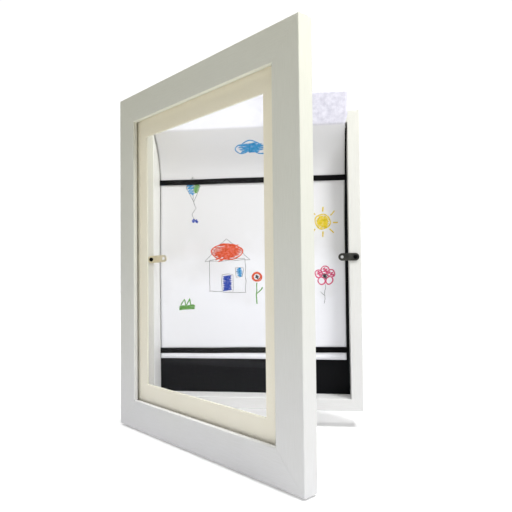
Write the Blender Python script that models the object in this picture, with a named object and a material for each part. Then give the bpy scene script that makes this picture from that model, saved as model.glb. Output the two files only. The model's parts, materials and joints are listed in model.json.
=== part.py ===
# Front-opening wall frame for children's drawings: a shallow tray with a hinged, glazed door.
# Metres, +Z up, +Y into the wall. The origin is the middle of the back panel's rear face.

import bpy
import bmesh
from math import atan2, cos, pi, radians, sin, sqrt
from mathutils import Matrix, Vector

# Clearances
GAP = 0.0003
MITRE_GAP = 0.0003
OVERRUN = 0.002

# Drawing sheet, A4
SHEET_WIDTH = 0.210
SHEET_LENGTH = 0.297
SHEET_THICK = 0.0003
SHEET_SIDE_GAP = 0.001
SHEET_FREE_GAP = 0.004
SHEET_RAISE = 0.0195
SHEET_LEAN_PULL_SHARE = 0.55
SHEET_FOLD_PULL_SHARE = 0.35
SHEET_FOLD_RADIUS = 0.0012
SHEET_LEAN_STEPS = 12
SHEET_FOLD_STEPS = 3

# Tray boards
TRAY_OVER_SHEET = 0.024
TRAY_WALL_DEPTH = 0.024
BOARD_WIDTH = 0.0125
BOARD_EDGE_RADIUS = 0.0005
PANEL_THICK = 0.0027
PANEL_REBATE = 0.005

# Elastic straps, measured from the tray's top and from its bottom to each strap's middle
STRAP_WIDTH = 0.0062
STRAP_THICK = 0.0008
STRAP_TUCK = 0.004
STRAP_UPPER_DROP = 0.0682
STRAP_LOWER_HEIGHT = 0.0603

# Door
DOOR_THICK = 0.015
DOOR_LIP_THICK = 0.0043
DOOR_LIP_WIDTH = 0.006
DOOR_EDGE_RADIUS = 0.0008
DOOR_LANDING = 0.0075
DOOR_SIDE_REVEAL = 0.016
DOOR_TOP_REVEAL = 0.0205
DOOR_BOTTOM_REVEAL = 0.0165
DOOR_GAP = 0.003
DOOR_OPEN_ANGLE = radians(40)
EDGE_STEPS = 3

# Glazing and mat
PANE_THICK = 0.0016
PANE_FIT = 0.0006
MAT_THICK = 0.0014
MAT_SHOW_SIDE = 0.0167
MAT_SHOW_END = 0.0186
POINT_LENGTH = 0.0096
POINT_WIDTH = 0.008
POINT_THICK = 0.0005
POINT_BITE = 0.004
POINT_PLACE_SHARES = (0.27, 0.73)

# Hinges
HINGE_HEIGHT = 0.038
HINGE_INSET = 0.0555
LEAF_WIDTH = 0.011
LEAF_THICK = 0.001
KNUCKLE_RADIUS = 0.0025
PIN_RADIUS = 0.001
PIN_HEAD_RADIUS = 0.0019
PIN_HEAD_THICK = 0.0006
HINGE_SCREW_INSET = 0.007
HINGE_SCREW_HEAD = 0.0022
HINGE_SCREW_SHANK = 0.001
HINGE_SCREW_LENGTH = 0.009
SCREW_TIP_SHARE = 0.25
RECESS_ARM = 0.0013
RECESS_SLOT = 0.0003
RECESS_DEPTH = 0.0006

# Turn buttons, their screws measured from the rim's inner edge and from the tray's middle
BUTTON_WIDTH = 0.008
BUTTON_REACH = 0.014
BUTTON_THICK = 0.001
BUTTON_HOLE_RADIUS = 0.0016
BUTTON_RISE = 0.0028
BUTTON_INSET_LEFT = 0.0025
BUTTON_INSET_RIGHT = 0.0065
BUTTON_TILT_LEFT = radians(4)
BUTTON_SCREW_HEAD = 0.0022
BUTTON_SCREW_HEAD_THICK = 0.0011
BUTTON_SCREW_SHANK = 0.0012
BUTTON_SCREW_LENGTH = 0.011
BUTTON_SCREW_DOME_SHARE = 0.35

# Closing magnets and bumpers
MAGNET_RADIUS = 0.0025
MAGNET_THICK = 0.002
MAGNET_INSET = 0.0425
DOOR_BUMPER_RADIUS = 0.0032
BUMPER_DOME_SHARE = 0.3
WALL_BUMPER_RADIUS = 0.003
WALL_BUMPER_THICK = 0.0015

# Sawtooth hangers
HANGER_LENGTH = 0.038
HANGER_WIDTH = 0.0068
HANGER_THICK = 0.0007
HANGER_TAB = 0.008
HANGER_STAND = 0.0012
HANGER_TOOTH_DEPTH = 0.0016
HANGER_TEETH = 7
NAIL_HEAD_RADIUS = 0.0016
NAIL_HEAD_THICK = 0.0005
NAIL_SHANK_RADIUS = 0.0006
NAIL_LENGTH = 0.010

ROUND_SIDES = 32
SMALL_SIDES = 20

# Places that follow from the sizes, in the closed pose
TRAY_WIDTH = SHEET_WIDTH + SHEET_SIDE_GAP + SHEET_FREE_GAP + 2 * BOARD_WIDTH
TRAY_HEIGHT = SHEET_LENGTH + TRAY_OVER_SHEET
DOOR_WIDTH = TRAY_WIDTH + 2 * DOOR_SIDE_REVEAL
DOOR_HEIGHT = TRAY_HEIGHT + DOOR_TOP_REVEAL + DOOR_BOTTOM_REVEAL
DOOR_SOLID = DOOR_SIDE_REVEAL + DOOR_LANDING
DOOR_FACE = DOOR_SOLID + DOOR_LIP_WIDTH
X_LEFT = -TRAY_WIDTH / 2
X_RIGHT = TRAY_WIDTH / 2
Z_BOTTOM = -TRAY_HEIGHT / 2
Z_TOP = TRAY_HEIGHT / 2
TRAY_DEPTH = TRAY_WALL_DEPTH + GAP + PANEL_THICK
Y_FRONT = -TRAY_DEPTH
Y_SHOULDER = Y_FRONT + TRAY_WALL_DEPTH
Y_PANEL = -PANEL_THICK
Y_SHEET_FRONT = Y_PANEL - GAP - SHEET_THICK
Y_STRAP_FRONT = Y_SHEET_FRONT - GAP - STRAP_THICK
Y_DOOR_BACK = Y_FRONT - DOOR_GAP
Y_DOOR_FRONT = Y_DOOR_BACK - DOOR_THICK
DOOR_LEFT = X_LEFT - DOOR_SIDE_REVEAL
DOOR_RIGHT = X_RIGHT + DOOR_SIDE_REVEAL
DOOR_BOTTOM = Z_BOTTOM - DOOR_BOTTOM_REVEAL
DOOR_TOP = Z_TOP + DOOR_TOP_REVEAL
RIM_SOLID = BOARD_WIDTH - PANEL_REBATE
LANDING_X = X_RIGHT - DOOR_LANDING / 2
MITRE_TRIM = MITRE_GAP / sqrt(2)
PIVOT = Vector((X_LEFT - GAP - KNUCKLE_RADIUS, Y_DOOR_BACK + GAP + KNUCKLE_RADIUS, 0))

door_pieces = []


def clear_scene():
    for thing in list(bpy.data.objects):
        bpy.data.objects.remove(thing, do_unlink=True)


def paint(name, colour, roughness, metallic=0.0):
    material = bpy.data.materials.new(name)
    material.use_nodes = True
    shader = material.node_tree.nodes["Principled BSDF"]
    shader.inputs["Base Color"].default_value = (*colour, 1.0)
    shader.inputs["Roughness"].default_value = roughness
    shader.inputs["Metallic"].default_value = metallic
    material.diffuse_color = (*colour, 1.0)
    return material


def white_wrap(name):
    return paint(name, (0.80, 0.80, 0.77), 0.45)


def cream_card(name):
    return paint(name, (0.72, 0.69, 0.56), 0.85)


def clear_sheet(name):
    return paint(name, (0.86, 0.90, 0.90), 0.08)


def black_board(name):
    return paint(name, (0.012, 0.012, 0.014), 0.7)


def black_elastic(name):
    return paint(name, (0.008, 0.008, 0.009), 0.8)


def drawing_paper(name):
    return paint(name, (0.84, 0.84, 0.85), 0.8)


def grey_metal(name):
    return paint(name, (0.10, 0.10, 0.095), 0.4, 1.0)


def beige_metal(name):
    return paint(name, (0.62, 0.58, 0.48), 0.4, 1.0)


def black_screw(name):
    return paint(name, (0.01, 0.01, 0.01), 0.45, 0.6)


def bright_steel(name):
    return paint(name, (0.62, 0.62, 0.63), 0.3, 1.0)


def soft_rubber(name):
    return paint(name, (0.75, 0.76, 0.76), 0.6)


def add_object(name, bm, material, smooth=False):
    bmesh.ops.recalc_face_normals(bm, faces=bm.faces)
    mesh = bpy.data.meshes.new(name)
    bm.to_mesh(mesh)
    bm.free()
    if smooth:
        mesh.shade_smooth()
        mesh.set_sharp_from_angle(angle=radians(35))
    if material:
        mesh.materials.append(material)
    thing = bpy.data.objects.new(name, mesh)
    bpy.context.scene.collection.objects.link(thing)
    return thing


def add_cutter(name, bm):
    cutter = add_object(name, bm, None)
    cutter.hide_render = True
    cutter.display_type = "WIRE"
    return cutter


def cut(thing, cutter):
    # a cutter moves with the piece that it cuts
    knife = thing.modifiers.new(cutter.name, "BOOLEAN")
    knife.operation = "DIFFERENCE"
    knife.solver = "EXACT"
    knife.object = cutter
    cutter.parent = thing


def box(bm, low, high):
    centre = [(a + b) / 2 for a, b in zip(low, high)]
    size = [b - a for a, b in zip(low, high)]
    shape = Matrix.Translation(centre) @ Matrix.Diagonal((*size, 1))
    bmesh.ops.create_cube(bm, size=1, matrix=shape)


def merge(bm, shape, turn):
    # move a finished shape into place and add it to a larger mesh
    bmesh.ops.transform(shape, matrix=turn, verts=shape.verts)
    bmesh.ops.recalc_face_normals(shape, faces=shape.faces)
    mesh = bpy.data.meshes.new("shape")
    shape.to_mesh(mesh)
    shape.free()
    bm.from_mesh(mesh)
    bpy.data.meshes.remove(mesh)


def prism(bm, outline, low, high, turn):
    shape = bmesh.new()
    face = shape.faces.new([shape.verts.new((x, y, low)) for x, y in outline])
    made = bmesh.ops.extrude_face_region(shape, geom=[face])
    tops = [part for part in made["geom"] if isinstance(part, bmesh.types.BMVert)]
    bmesh.ops.translate(shape, vec=(0, 0, high - low), verts=tops)
    merge(bm, shape, turn)


def turned(bm, profile, sides, turn):
    # profile runs up the axis as (radius, height) and starts and ends on the axis
    shape = bmesh.new()
    verts = [shape.verts.new((r, 0, z)) for r, z in profile]
    edges = [shape.edges.new(pair) for pair in zip(verts, verts[1:])]
    bmesh.ops.spin(shape, geom=verts + edges, cent=(0, 0, 0), axis=(0, 0, 1),
                   angle=2 * pi, steps=sides, use_merge=True)
    bmesh.ops.remove_doubles(shape, verts=shape.verts, dist=GAP / 100)
    merge(bm, shape, turn)


def rod(bm, radius, low, high, sides, turn):
    turned(bm, [(0, low), (radius, low), (radius, high), (0, high)], sides, turn)


def facing(axis, place):
    # a matrix that takes +Z to the given axis and the origin to the given place
    return Matrix.Translation(place) @ Vector(axis).to_track_quat("Z", "Y").to_matrix().to_4x4()


def arc(centre, radius, start, end, steps):
    turns = [start + (end - start) * i / steps for i in range(steps + 1)]
    return [(centre[0] + radius * cos(t), centre[1] + radius * sin(t)) for t in turns]


def rounded(corners, steps):
    # each corner is (x, y, radius); a radius of zero stays sharp
    points = []
    for i, (x, y, radius) in enumerate(corners):
        if radius == 0:
            points.append((x, y))
            continue
        here = Vector((x, y))
        before = (Vector(corners[i - 1][:2]) - here).normalized()
        after = (Vector(corners[(i + 1) % len(corners)][:2]) - here).normalized()
        centre = here + (before + after) * radius
        start = here + before * radius - centre
        end = here + after * radius - centre
        first = atan2(start.y, start.x)
        sweep = start.angle_signed(end)
        points += arc(centre, radius, first, first - sweep, steps)
    return points


def mitred_bar(profile, length, turn):
    # profile is (distance in from the outer edge, distance behind the face)
    bm = bmesh.new()
    ends = [bm.verts.new((-length / 2 + a + MITRE_TRIM, a, n)) for a, n in profile]
    made = bmesh.ops.extrude_face_region(bm, geom=[bm.faces.new(ends)])
    for part in made["geom"]:
        if isinstance(part, bmesh.types.BMVert):
            part.co.x = -part.co.x
    bmesh.ops.transform(bm, matrix=turn, verts=bm.verts)
    return bm


def side_frame(along, inward, corner):
    # bar axes: x along the bar, y inward over the face, z behind the face
    turn = Matrix((along, inward, (0, 1, 0))).transposed().to_4x4()
    return Matrix.Translation(corner) @ turn


def on_door(thing):
    door_pieces.append(thing)
    return thing


# Tray

def tray_profile():
    return rounded([
        (0, 0, BOARD_EDGE_RADIUS),
        (BOARD_WIDTH, 0, BOARD_EDGE_RADIUS),
        (BOARD_WIDTH, TRAY_WALL_DEPTH, 0),
        (RIM_SOLID, TRAY_WALL_DEPTH, 0),
        (RIM_SOLID, TRAY_DEPTH, 0),
        (0, TRAY_DEPTH, BOARD_EDGE_RADIUS),
    ], EDGE_STEPS)


def strap_levels():
    return (Z_TOP - STRAP_UPPER_DROP, Z_BOTTOM + STRAP_LOWER_HEIGHT)


def strap_notches(bm, inner, outward):
    ends = sorted((inner - outward * OVERRUN, inner + outward * (STRAP_TUCK + GAP)))
    for level in strap_levels():
        low = (ends[0], Y_STRAP_FRONT - GAP, level - STRAP_WIDTH / 2 - GAP)
        high = (ends[1], Y_SHOULDER + OVERRUN, level + STRAP_WIDTH / 2 + GAP)
        box(bm, low, high)


def button_place(side):
    inset = BUTTON_INSET_LEFT if side < 0 else BUTTON_INSET_RIGHT
    return Vector((side * (TRAY_WIDTH / 2 - BOARD_WIDTH + inset), Y_FRONT, BUTTON_RISE))


def button_screw_bore(bm, side):
    depth = BUTTON_SCREW_LENGTH - BUTTON_THICK
    rod(bm, BUTTON_SCREW_SHANK + GAP, -OVERRUN, depth, SMALL_SIDES, facing((0, 1, 0), button_place(side)))


def magnet_levels():
    return (Z_TOP - MAGNET_INSET, Z_BOTTOM + MAGNET_INSET)


def tray_side(side):
    name = "tray_side_left" if side < 0 else "tray_side_right"
    corner = (side * TRAY_WIDTH / 2, Y_FRONT, 0)
    turn = side_frame((0, 0, -side), (-side, 0, 0), corner)
    board = add_object(name, mitred_bar(tray_profile(), TRAY_HEIGHT, turn), white_wrap(name))
    cuts = bmesh.new()
    strap_notches(cuts, side * (TRAY_WIDTH / 2 - BOARD_WIDTH), side)
    button_screw_bore(cuts, side)
    if side < 0:
        for level in hinge_levels():
            for place in hinge_screw_places(level):
                spot = facing((1, 0, 0), (X_LEFT, PIVOT.y + LEAF_SCREW, place))
                rod(cuts, HINGE_SCREW_SHANK + GAP, -OVERRUN, HINGE_SCREW_LENGTH, SMALL_SIDES, spot)
        for spot in hanger_nail_places(landscape_hanger_frame()):
            rod(cuts, NAIL_SHANK_RADIUS + GAP, -OVERRUN, NAIL_LENGTH, SMALL_SIDES, spot)
    else:
        for level in magnet_levels():
            spot = facing((0, 1, 0), (LANDING_X, Y_FRONT, level))
            rod(cuts, MAGNET_RADIUS + GAP, -OVERRUN, MAGNET_THICK + GAP, ROUND_SIDES, spot)
    cut(board, add_cutter(name + "_cuts", cuts))


def tray_rail(side):
    name = "tray_rail_bottom" if side < 0 else "tray_rail_top"
    corner = (0, Y_FRONT, side * TRAY_HEIGHT / 2)
    turn = side_frame((side, 0, 0), (0, 0, -side), corner)
    rail = add_object(name, mitred_bar(tray_profile(), TRAY_WIDTH, turn), white_wrap(name))
    if side > 0:
        cuts = bmesh.new()
        for spot in hanger_nail_places(portrait_hanger_frame()):
            rod(cuts, NAIL_SHANK_RADIUS + GAP, -OVERRUN, NAIL_LENGTH, SMALL_SIDES, spot)
        cut(rail, add_cutter(name + "_cuts", cuts))


def back_panel():
    bm = bmesh.new()
    half = TRAY_WIDTH / 2 - RIM_SOLID - GAP
    tall = TRAY_HEIGHT / 2 - RIM_SOLID - GAP
    box(bm, (-half, Y_PANEL, -tall), (half, 0, tall))
    add_object("back_panel", bm, black_board("back_panel"))


def strap(name, level):
    bm = bmesh.new()
    half = TRAY_WIDTH / 2 - BOARD_WIDTH + STRAP_TUCK
    low = (-half, Y_STRAP_FRONT, level - STRAP_WIDTH / 2)
    high = (half, Y_STRAP_FRONT + STRAP_THICK, level + STRAP_WIDTH / 2)
    box(bm, low, high)
    add_object(name, bm, black_elastic(name))


# Drawing sheet: flat under the straps, then over the top rail's front edge

def curve_point(points, t):
    while len(points) > 1:
        points = [a.lerp(b, t) for a, b in zip(points, points[1:])]
    return points[0]


def sheet_path():
    flat_y = Y_SHEET_FRONT + SHEET_THICK / 2
    front_y = Y_FRONT - GAP - SHEET_THICK / 2
    leave = Vector((flat_y, strap_levels()[0] + STRAP_WIDTH / 2))
    edge = Vector((front_y, Z_TOP - BOARD_WIDTH - SHEET_FOLD_RADIUS))
    span = edge - leave
    pulls = [
        leave,
        leave + Vector((0, span.y * SHEET_LEAN_PULL_SHARE)),
        edge - Vector((span.x * SHEET_FOLD_PULL_SHARE, span.y * SHEET_FOLD_PULL_SHARE / 2)),
        edge,
    ]
    lean = [curve_point(pulls, i / SHEET_LEAN_STEPS) for i in range(SHEET_LEAN_STEPS)]
    top = Vector((front_y, Z_TOP + SHEET_RAISE))
    arrive = (lean[-1] - edge).normalized() * SHEET_FOLD_RADIUS
    fold = [edge + arrive, edge, edge + Vector((0, SHEET_FOLD_RADIUS))]
    round_fold = [curve_point(fold, i / SHEET_FOLD_STEPS) for i in range(SHEET_FOLD_STEPS + 1)]
    upper = lean + round_fold + [top]
    used = sum((b - a).length for a, b in zip(upper, upper[1:]))
    bottom = leave - Vector((0, SHEET_LENGTH - used))
    return [bottom] + upper


def art_sheet():
    path = sheet_path()
    front, back = [], []
    for i, here in enumerate(path):
        before = path[max(i - 1, 0)]
        after = path[min(i + 1, len(path) - 1)]
        run = (after - before).normalized()
        side = Vector((run.y, -run.x)) * SHEET_THICK / 2
        back.append(tuple(here + side))
        front.append(tuple(here - side))
    left = X_LEFT + BOARD_WIDTH + SHEET_SIDE_GAP
    turn = Matrix(((0, 0, 1, 0), (1, 0, 0, 0), (0, 1, 0, 0), (0, 0, 0, 1)))
    bm = bmesh.new()
    prism(bm, back + front[::-1], left, left + SHEET_WIDTH, turn)
    add_object("art_sheet", bm, drawing_paper("art_sheet"))


# Turn buttons and their screws

def turn_button(side):
    name = "turn_button_left" if side < 0 else "turn_button_right"
    half = BUTTON_WIDTH / 2
    outline = arc((0, 0), half, pi / 2, 3 * pi / 2, SMALL_SIDES // 2)
    outline += arc((BUTTON_REACH, 0), half, -pi / 2, pi / 2, SMALL_SIDES // 2)
    if side > 0:
        outline = [(-x, y) for x, y in outline]
    turn = Matrix.Rotation(pi / 2, 4, "X")
    bm = bmesh.new()
    prism(bm, outline, GAP, GAP + BUTTON_THICK, turn)
    metal = beige_metal(name) if side < 0 else grey_metal(name)
    button = add_object(name, bm, metal)
    holes = bmesh.new()
    high = GAP + BUTTON_THICK + OVERRUN
    for x, radius in ((0, BUTTON_SCREW_SHANK + GAP), (-side * BUTTON_REACH, BUTTON_HOLE_RADIUS)):
        rod(holes, radius, -OVERRUN, high, SMALL_SIDES, turn @ Matrix.Translation((x, 0, 0)))
    cut(button, add_cutter(name + "_holes", holes))
    button.location = button_place(side)
    if side < 0:
        button.rotation_euler = (0, -BUTTON_TILT_LEFT, 0)


def plus_recess(bm, top, turn):
    a, s = RECESS_ARM, RECESS_SLOT
    outline = [(s, s), (s, a), (-s, a), (-s, s), (-a, s), (-a, -s),
               (-s, -s), (-s, -a), (s, -a), (s, -s), (a, -s), (a, s)]
    prism(bm, outline, top - RECESS_DEPTH, top + OVERRUN, turn)


def button_screw(side):
    name = "turn_button_screw_left" if side < 0 else "turn_button_screw_right"
    seat = GAP + BUTTON_THICK + GAP / 2
    top = seat + BUTTON_SCREW_HEAD_THICK
    dome = BUTTON_SCREW_HEAD_THICK * BUTTON_SCREW_DOME_SHARE
    tip = top - BUTTON_SCREW_LENGTH
    taper = BUTTON_SCREW_LENGTH * SCREW_TIP_SHARE
    profile = [(0, tip), (BUTTON_SCREW_SHANK, tip + taper), (BUTTON_SCREW_SHANK, seat),
               (BUTTON_SCREW_HEAD, seat), (BUTTON_SCREW_HEAD, top - dome),
               (BUTTON_SCREW_HEAD - dome, top), (0, top)]
    turn = facing((0, -1, 0), button_place(side))
    bm = bmesh.new()
    turned(bm, profile, SMALL_SIDES, turn)
    screw = add_object(name, bm, black_screw(name), smooth=True)
    recess = bmesh.new()
    plus_recess(recess, top, turn)
    cut(screw, add_cutter(name + "_recess", recess))


# Hinges

LEAF_SCREW = (LEAF_WIDTH + KNUCKLE_RADIUS) / 2


def hinge_levels():
    return (Z_TOP - HINGE_INSET, Z_BOTTOM + HINGE_INSET)


def hinge_screw_places(level):
    reach = HINGE_HEIGHT / 2 - HINGE_SCREW_INSET
    return (level + reach, level - reach)


def leaf_outline():
    # p runs out along the leaf from the pin, q away from the wood
    flat = -KNUCKLE_RADIUS + LEAF_THICK
    start = atan2(flat, sqrt(KNUCKLE_RADIUS ** 2 - flat ** 2))
    knuckle = arc((0, 0), KNUCKLE_RADIUS, start, 3 * pi / 2, ROUND_SIDES)
    return knuckle + [(LEAF_WIDTH, -KNUCKLE_RADIUS), (LEAF_WIDTH, flat)]


def countersink(bm, turn):
    # the screw hole through a leaf, with the leaf's outer face at height zero
    wide = HINGE_SCREW_HEAD + GAP
    narrow = HINGE_SCREW_SHANK + GAP
    turned(bm, [(0, -LEAF_THICK - OVERRUN), (narrow, -LEAF_THICK - OVERRUN), (narrow, -LEAF_THICK),
                (wide, 0), (wide, OVERRUN), (0, OVERRUN)], SMALL_SIDES, turn)


def hinge_leaf(name, level, frame, outward, middle):
    bm = bmesh.new()
    prism(bm, leaf_outline(), level - HINGE_HEIGHT / 2, level + HINGE_HEIGHT / 2, frame)
    leaf = add_object(name, bm, bright_steel(name), smooth=True)
    third = HINGE_HEIGHT / 6
    reach = KNUCKLE_RADIUS + GAP * 2
    end = HINGE_HEIGHT / 2 + OVERRUN
    if middle:
        spans = [(third - GAP / 2, end), (-end, -third + GAP / 2)]
    else:
        spans = [(-third - GAP / 2, third + GAP / 2)]
    notches = bmesh.new()
    for low, high in spans:
        shape = bmesh.new()
        box(shape, (-reach, -reach, level + low), (reach, reach, level + high))
        merge(notches, shape, frame)
    cut(leaf, add_cutter(name + "_notches", notches))
    bore = bmesh.new()
    rod(bore, PIN_RADIUS + GAP, -end, end, SMALL_SIDES, Matrix.Translation((PIVOT.x, PIVOT.y, level)))
    cut(leaf, add_cutter(name + "_bore", bore))
    holes = bmesh.new()
    for place in hinge_screw_places(level):
        countersink(holes, hinge_screw_frame(frame, outward, place))
    cut(leaf, add_cutter(name + "_holes", holes))
    return leaf


def hinge_screw_frame(frame, outward, place):
    spot = frame @ Vector((LEAF_SCREW, -KNUCKLE_RADIUS + LEAF_THICK, 0))
    return facing(outward, (spot.x, spot.y, place))


def hinge_screw(name, frame, outward, place):
    turn = hinge_screw_frame(frame, outward, place)
    tip = -HINGE_SCREW_LENGTH
    taper = HINGE_SCREW_LENGTH * SCREW_TIP_SHARE
    profile = [(0, tip), (HINGE_SCREW_SHANK, tip + taper), (HINGE_SCREW_SHANK, -LEAF_THICK),
               (HINGE_SCREW_HEAD, 0), (0, 0)]
    bm = bmesh.new()
    turned(bm, profile, SMALL_SIDES, turn)
    screw = add_object(name, bm, bright_steel(name), smooth=True)
    recess = bmesh.new()
    plus_recess(recess, 0, turn)
    cut(screw, add_cutter(name + "_recess", recess))
    return screw


def tray_leaf_frame():
    return Matrix(((0, -1, 0, PIVOT.x), (1, 0, 0, PIVOT.y), (0, 0, 1, 0), (0, 0, 0, 1)))


def door_leaf_frame():
    return Matrix(((-1, 0, 0, PIVOT.x), (0, 1, 0, PIVOT.y), (0, 0, 1, 0), (0, 0, 0, 1)))


def hinge_pin(name, level):
    low = -HINGE_HEIGHT / 2
    high = HINGE_HEIGHT / 2 + GAP
    profile = [(0, low), (PIN_RADIUS, low), (PIN_RADIUS, high), (PIN_HEAD_RADIUS, high),
               (PIN_HEAD_RADIUS, high + PIN_HEAD_THICK), (0, high + PIN_HEAD_THICK)]
    bm = bmesh.new()
    turned(bm, profile, SMALL_SIDES, Matrix.Translation((PIVOT.x, PIVOT.y, level)))
    add_object(name, bm, bright_steel(name), smooth=True)


def hinge(which, level):
    start = "hinge_" + which
    hinge_leaf(start + "_tray_leaf", level, tray_leaf_frame(), (-1, 0, 0), False)
    on_door(hinge_leaf(start + "_door_leaf", level, door_leaf_frame(), (0, 1, 0), True))
    hinge_pin(start + "_pin", level)
    for letter, place in zip("ab", hinge_screw_places(level)):
        hinge_screw(start + "_tray_screw_" + letter, tray_leaf_frame(), (-1, 0, 0), place)
        on_door(hinge_screw(start + "_door_screw_" + letter, door_leaf_frame(), (0, 1, 0), place))


# Magnets and bumpers

def magnet(name, front, level):
    bm = bmesh.new()
    rod(bm, MAGNET_RADIUS, 0, MAGNET_THICK, ROUND_SIDES, facing((0, 1, 0), (LANDING_X, front, level)))
    return add_object(name, bm, bright_steel(name), smooth=True)


def bumper(name, radius, thick, turn):
    dome = thick * BUMPER_DOME_SHARE
    profile = [(0, 0), (radius, 0), (radius, thick - dome), (radius - dome, thick), (0, thick)]
    bm = bmesh.new()
    turned(bm, profile, ROUND_SIDES, turn)
    return add_object(name, bm, soft_rubber(name), smooth=True)


def magnets():
    for which, level in zip(("upper", "lower"), magnet_levels()):
        magnet("closing_magnet_tray_" + which, Y_FRONT, level)
        on_door(magnet("closing_magnet_door_" + which, Y_DOOR_BACK - MAGNET_THICK, level))


def bumpers():
    inset = TRAY_HEIGHT / 2 - BOARD_WIDTH / 2
    thick = DOOR_GAP - 2 * GAP
    for which, level in (("upper", inset), ("lower", -inset)):
        turn = facing((0, 1, 0), (LANDING_X, Y_DOOR_BACK + GAP, level))
        on_door(bumper("door_bumper_" + which, DOOR_BUMPER_RADIUS, thick, turn))
    level = Z_BOTTOM + RIM_SOLID / 2
    for which, side in (("left", -1), ("right", 1)):
        place = (side * (TRAY_WIDTH / 2 - BOARD_WIDTH), GAP, level)
        turn = facing((0, 1, 0), place)
        bumper("wall_bumper_" + which, WALL_BUMPER_RADIUS, WALL_BUMPER_THICK, turn)


# Sawtooth hangers: x along the hanger, y toward its teeth, z off the wood

def portrait_hanger_frame():
    place = Matrix.Translation((0, GAP, Z_TOP - RIM_SOLID / 2))
    return place @ Matrix(((-1, 0, 0, 0), (0, 0, 1, 0), (0, -1, 0, 0), (0, 0, 0, 1)))


def landscape_hanger_frame():
    # the hinged side is up when the frame hangs sideways
    place = Matrix.Translation((X_LEFT + RIM_SOLID / 2, GAP, 0))
    return place @ Matrix(((0, 1, 0, 0), (0, 0, 1, 0), (1, 0, 0, 0), (0, 0, 0, 1)))


def nail_distance():
    return HANGER_LENGTH / 2 - HANGER_TAB / 2


def hanger_nail_places(frame):
    spots = [frame @ Vector((side * nail_distance(), 0, -GAP)) for side in (-1, 1)]
    return [facing((0, -1, 0), spot) for spot in spots]


def hanger(name, frame):
    half = HANGER_LENGTH / 2
    bend = half - HANGER_TAB
    raised = bend - HANGER_STAND
    lower = [(-half, 0), (-bend, 0), (-raised, HANGER_STAND), (raised, HANGER_STAND), (bend, 0), (half, 0)]
    upper = [(x, z + HANGER_THICK) for x, z in lower]
    upright = Matrix(((1, 0, 0, 0), (0, 0, 1, 0), (0, 1, 0, 0), (0, 0, 0, 1)))
    bm = bmesh.new()
    prism(bm, lower + upper[::-1], -HANGER_WIDTH / 2, HANGER_WIDTH / 2, frame @ upright)
    strip = add_object(name, bm, bright_steel(name))
    pitch = 2 * raised / (HANGER_TEETH + 1)
    edge = HANGER_WIDTH / 2
    outline = [(-raised + pitch / 2, edge + OVERRUN), (-raised + pitch / 2, edge - HANGER_TOOTH_DEPTH / 2)]
    for i in range(HANGER_TEETH):
        x = -raised + pitch * (i + 1)
        outline += [(x, edge - HANGER_TOOTH_DEPTH), (x + pitch / 2, edge - HANGER_TOOTH_DEPTH / 2)]
    outline.append((raised - pitch / 2, edge + OVERRUN))
    teeth = bmesh.new()
    prism(teeth, outline, -OVERRUN, HANGER_STAND + HANGER_THICK + OVERRUN, frame)
    cut(strip, add_cutter(name + "_teeth", teeth))
    holes = bmesh.new()
    for side in (-1, 1):
        place = frame @ Matrix.Translation((side * nail_distance(), 0, 0))
        rod(holes, NAIL_SHANK_RADIUS + GAP, -OVERRUN, HANGER_THICK + OVERRUN, SMALL_SIDES, place)
    cut(strip, add_cutter(name + "_holes", holes))
    for letter, side in zip("ab", (-1, 1)):
        place = frame @ Matrix.Translation((side * nail_distance(), 0, HANGER_THICK + GAP / 2))
        nail(name + "_nail_" + letter, place)


def nail(name, turn):
    tip = -NAIL_LENGTH
    profile = [(0, tip), (NAIL_SHANK_RADIUS, tip + NAIL_SHANK_RADIUS * 2), (NAIL_SHANK_RADIUS, 0),
               (NAIL_HEAD_RADIUS, 0), (NAIL_HEAD_RADIUS, NAIL_HEAD_THICK), (0, NAIL_HEAD_THICK)]
    bm = bmesh.new()
    turned(bm, profile, SMALL_SIDES, turn)
    add_object(name, bm, bright_steel(name), smooth=True)


# Door

def door_profile():
    return rounded([
        (0, 0, DOOR_EDGE_RADIUS),
        (DOOR_FACE, 0, DOOR_EDGE_RADIUS),
        (DOOR_FACE, DOOR_LIP_THICK, 0),
        (DOOR_SOLID, DOOR_LIP_THICK, 0),
        (DOOR_SOLID, DOOR_THICK, 0),
        (0, DOOR_THICK, DOOR_EDGE_RADIUS),
    ], EDGE_STEPS)


Y_PANE = Y_DOOR_FRONT + DOOR_LIP_THICK + GAP
Y_MAT = Y_PANE + PANE_THICK + GAP
Y_POINT = Y_MAT + MAT_THICK + GAP
DOOR_MIDDLE = Vector(((DOOR_LEFT + DOOR_RIGHT) / 2, 0, (DOOR_BOTTOM + DOOR_TOP) / 2))


def door_bar_frame(name):
    frames = {
        "door_stile_hinge": ((0, 0, 1), (1, 0, 0), (DOOR_LEFT, Y_DOOR_FRONT, DOOR_MIDDLE.z)),
        "door_stile_free": ((0, 0, -1), (-1, 0, 0), (DOOR_RIGHT, Y_DOOR_FRONT, DOOR_MIDDLE.z)),
        "door_rail_top": ((1, 0, 0), (0, 0, -1), (DOOR_MIDDLE.x, Y_DOOR_FRONT, DOOR_TOP)),
        "door_rail_bottom": ((-1, 0, 0), (0, 0, 1), (DOOR_MIDDLE.x, Y_DOOR_FRONT, DOOR_BOTTOM)),
    }
    return side_frame(*frames[name])


def door_bar_length(name):
    return DOOR_HEIGHT if "stile" in name else DOOR_WIDTH


def point_places(name):
    # places along a bar where the mat's points are driven in
    length = door_bar_length(name)
    return [length * (share - 1 / 2) for share in POINT_PLACE_SHARES]


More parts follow.
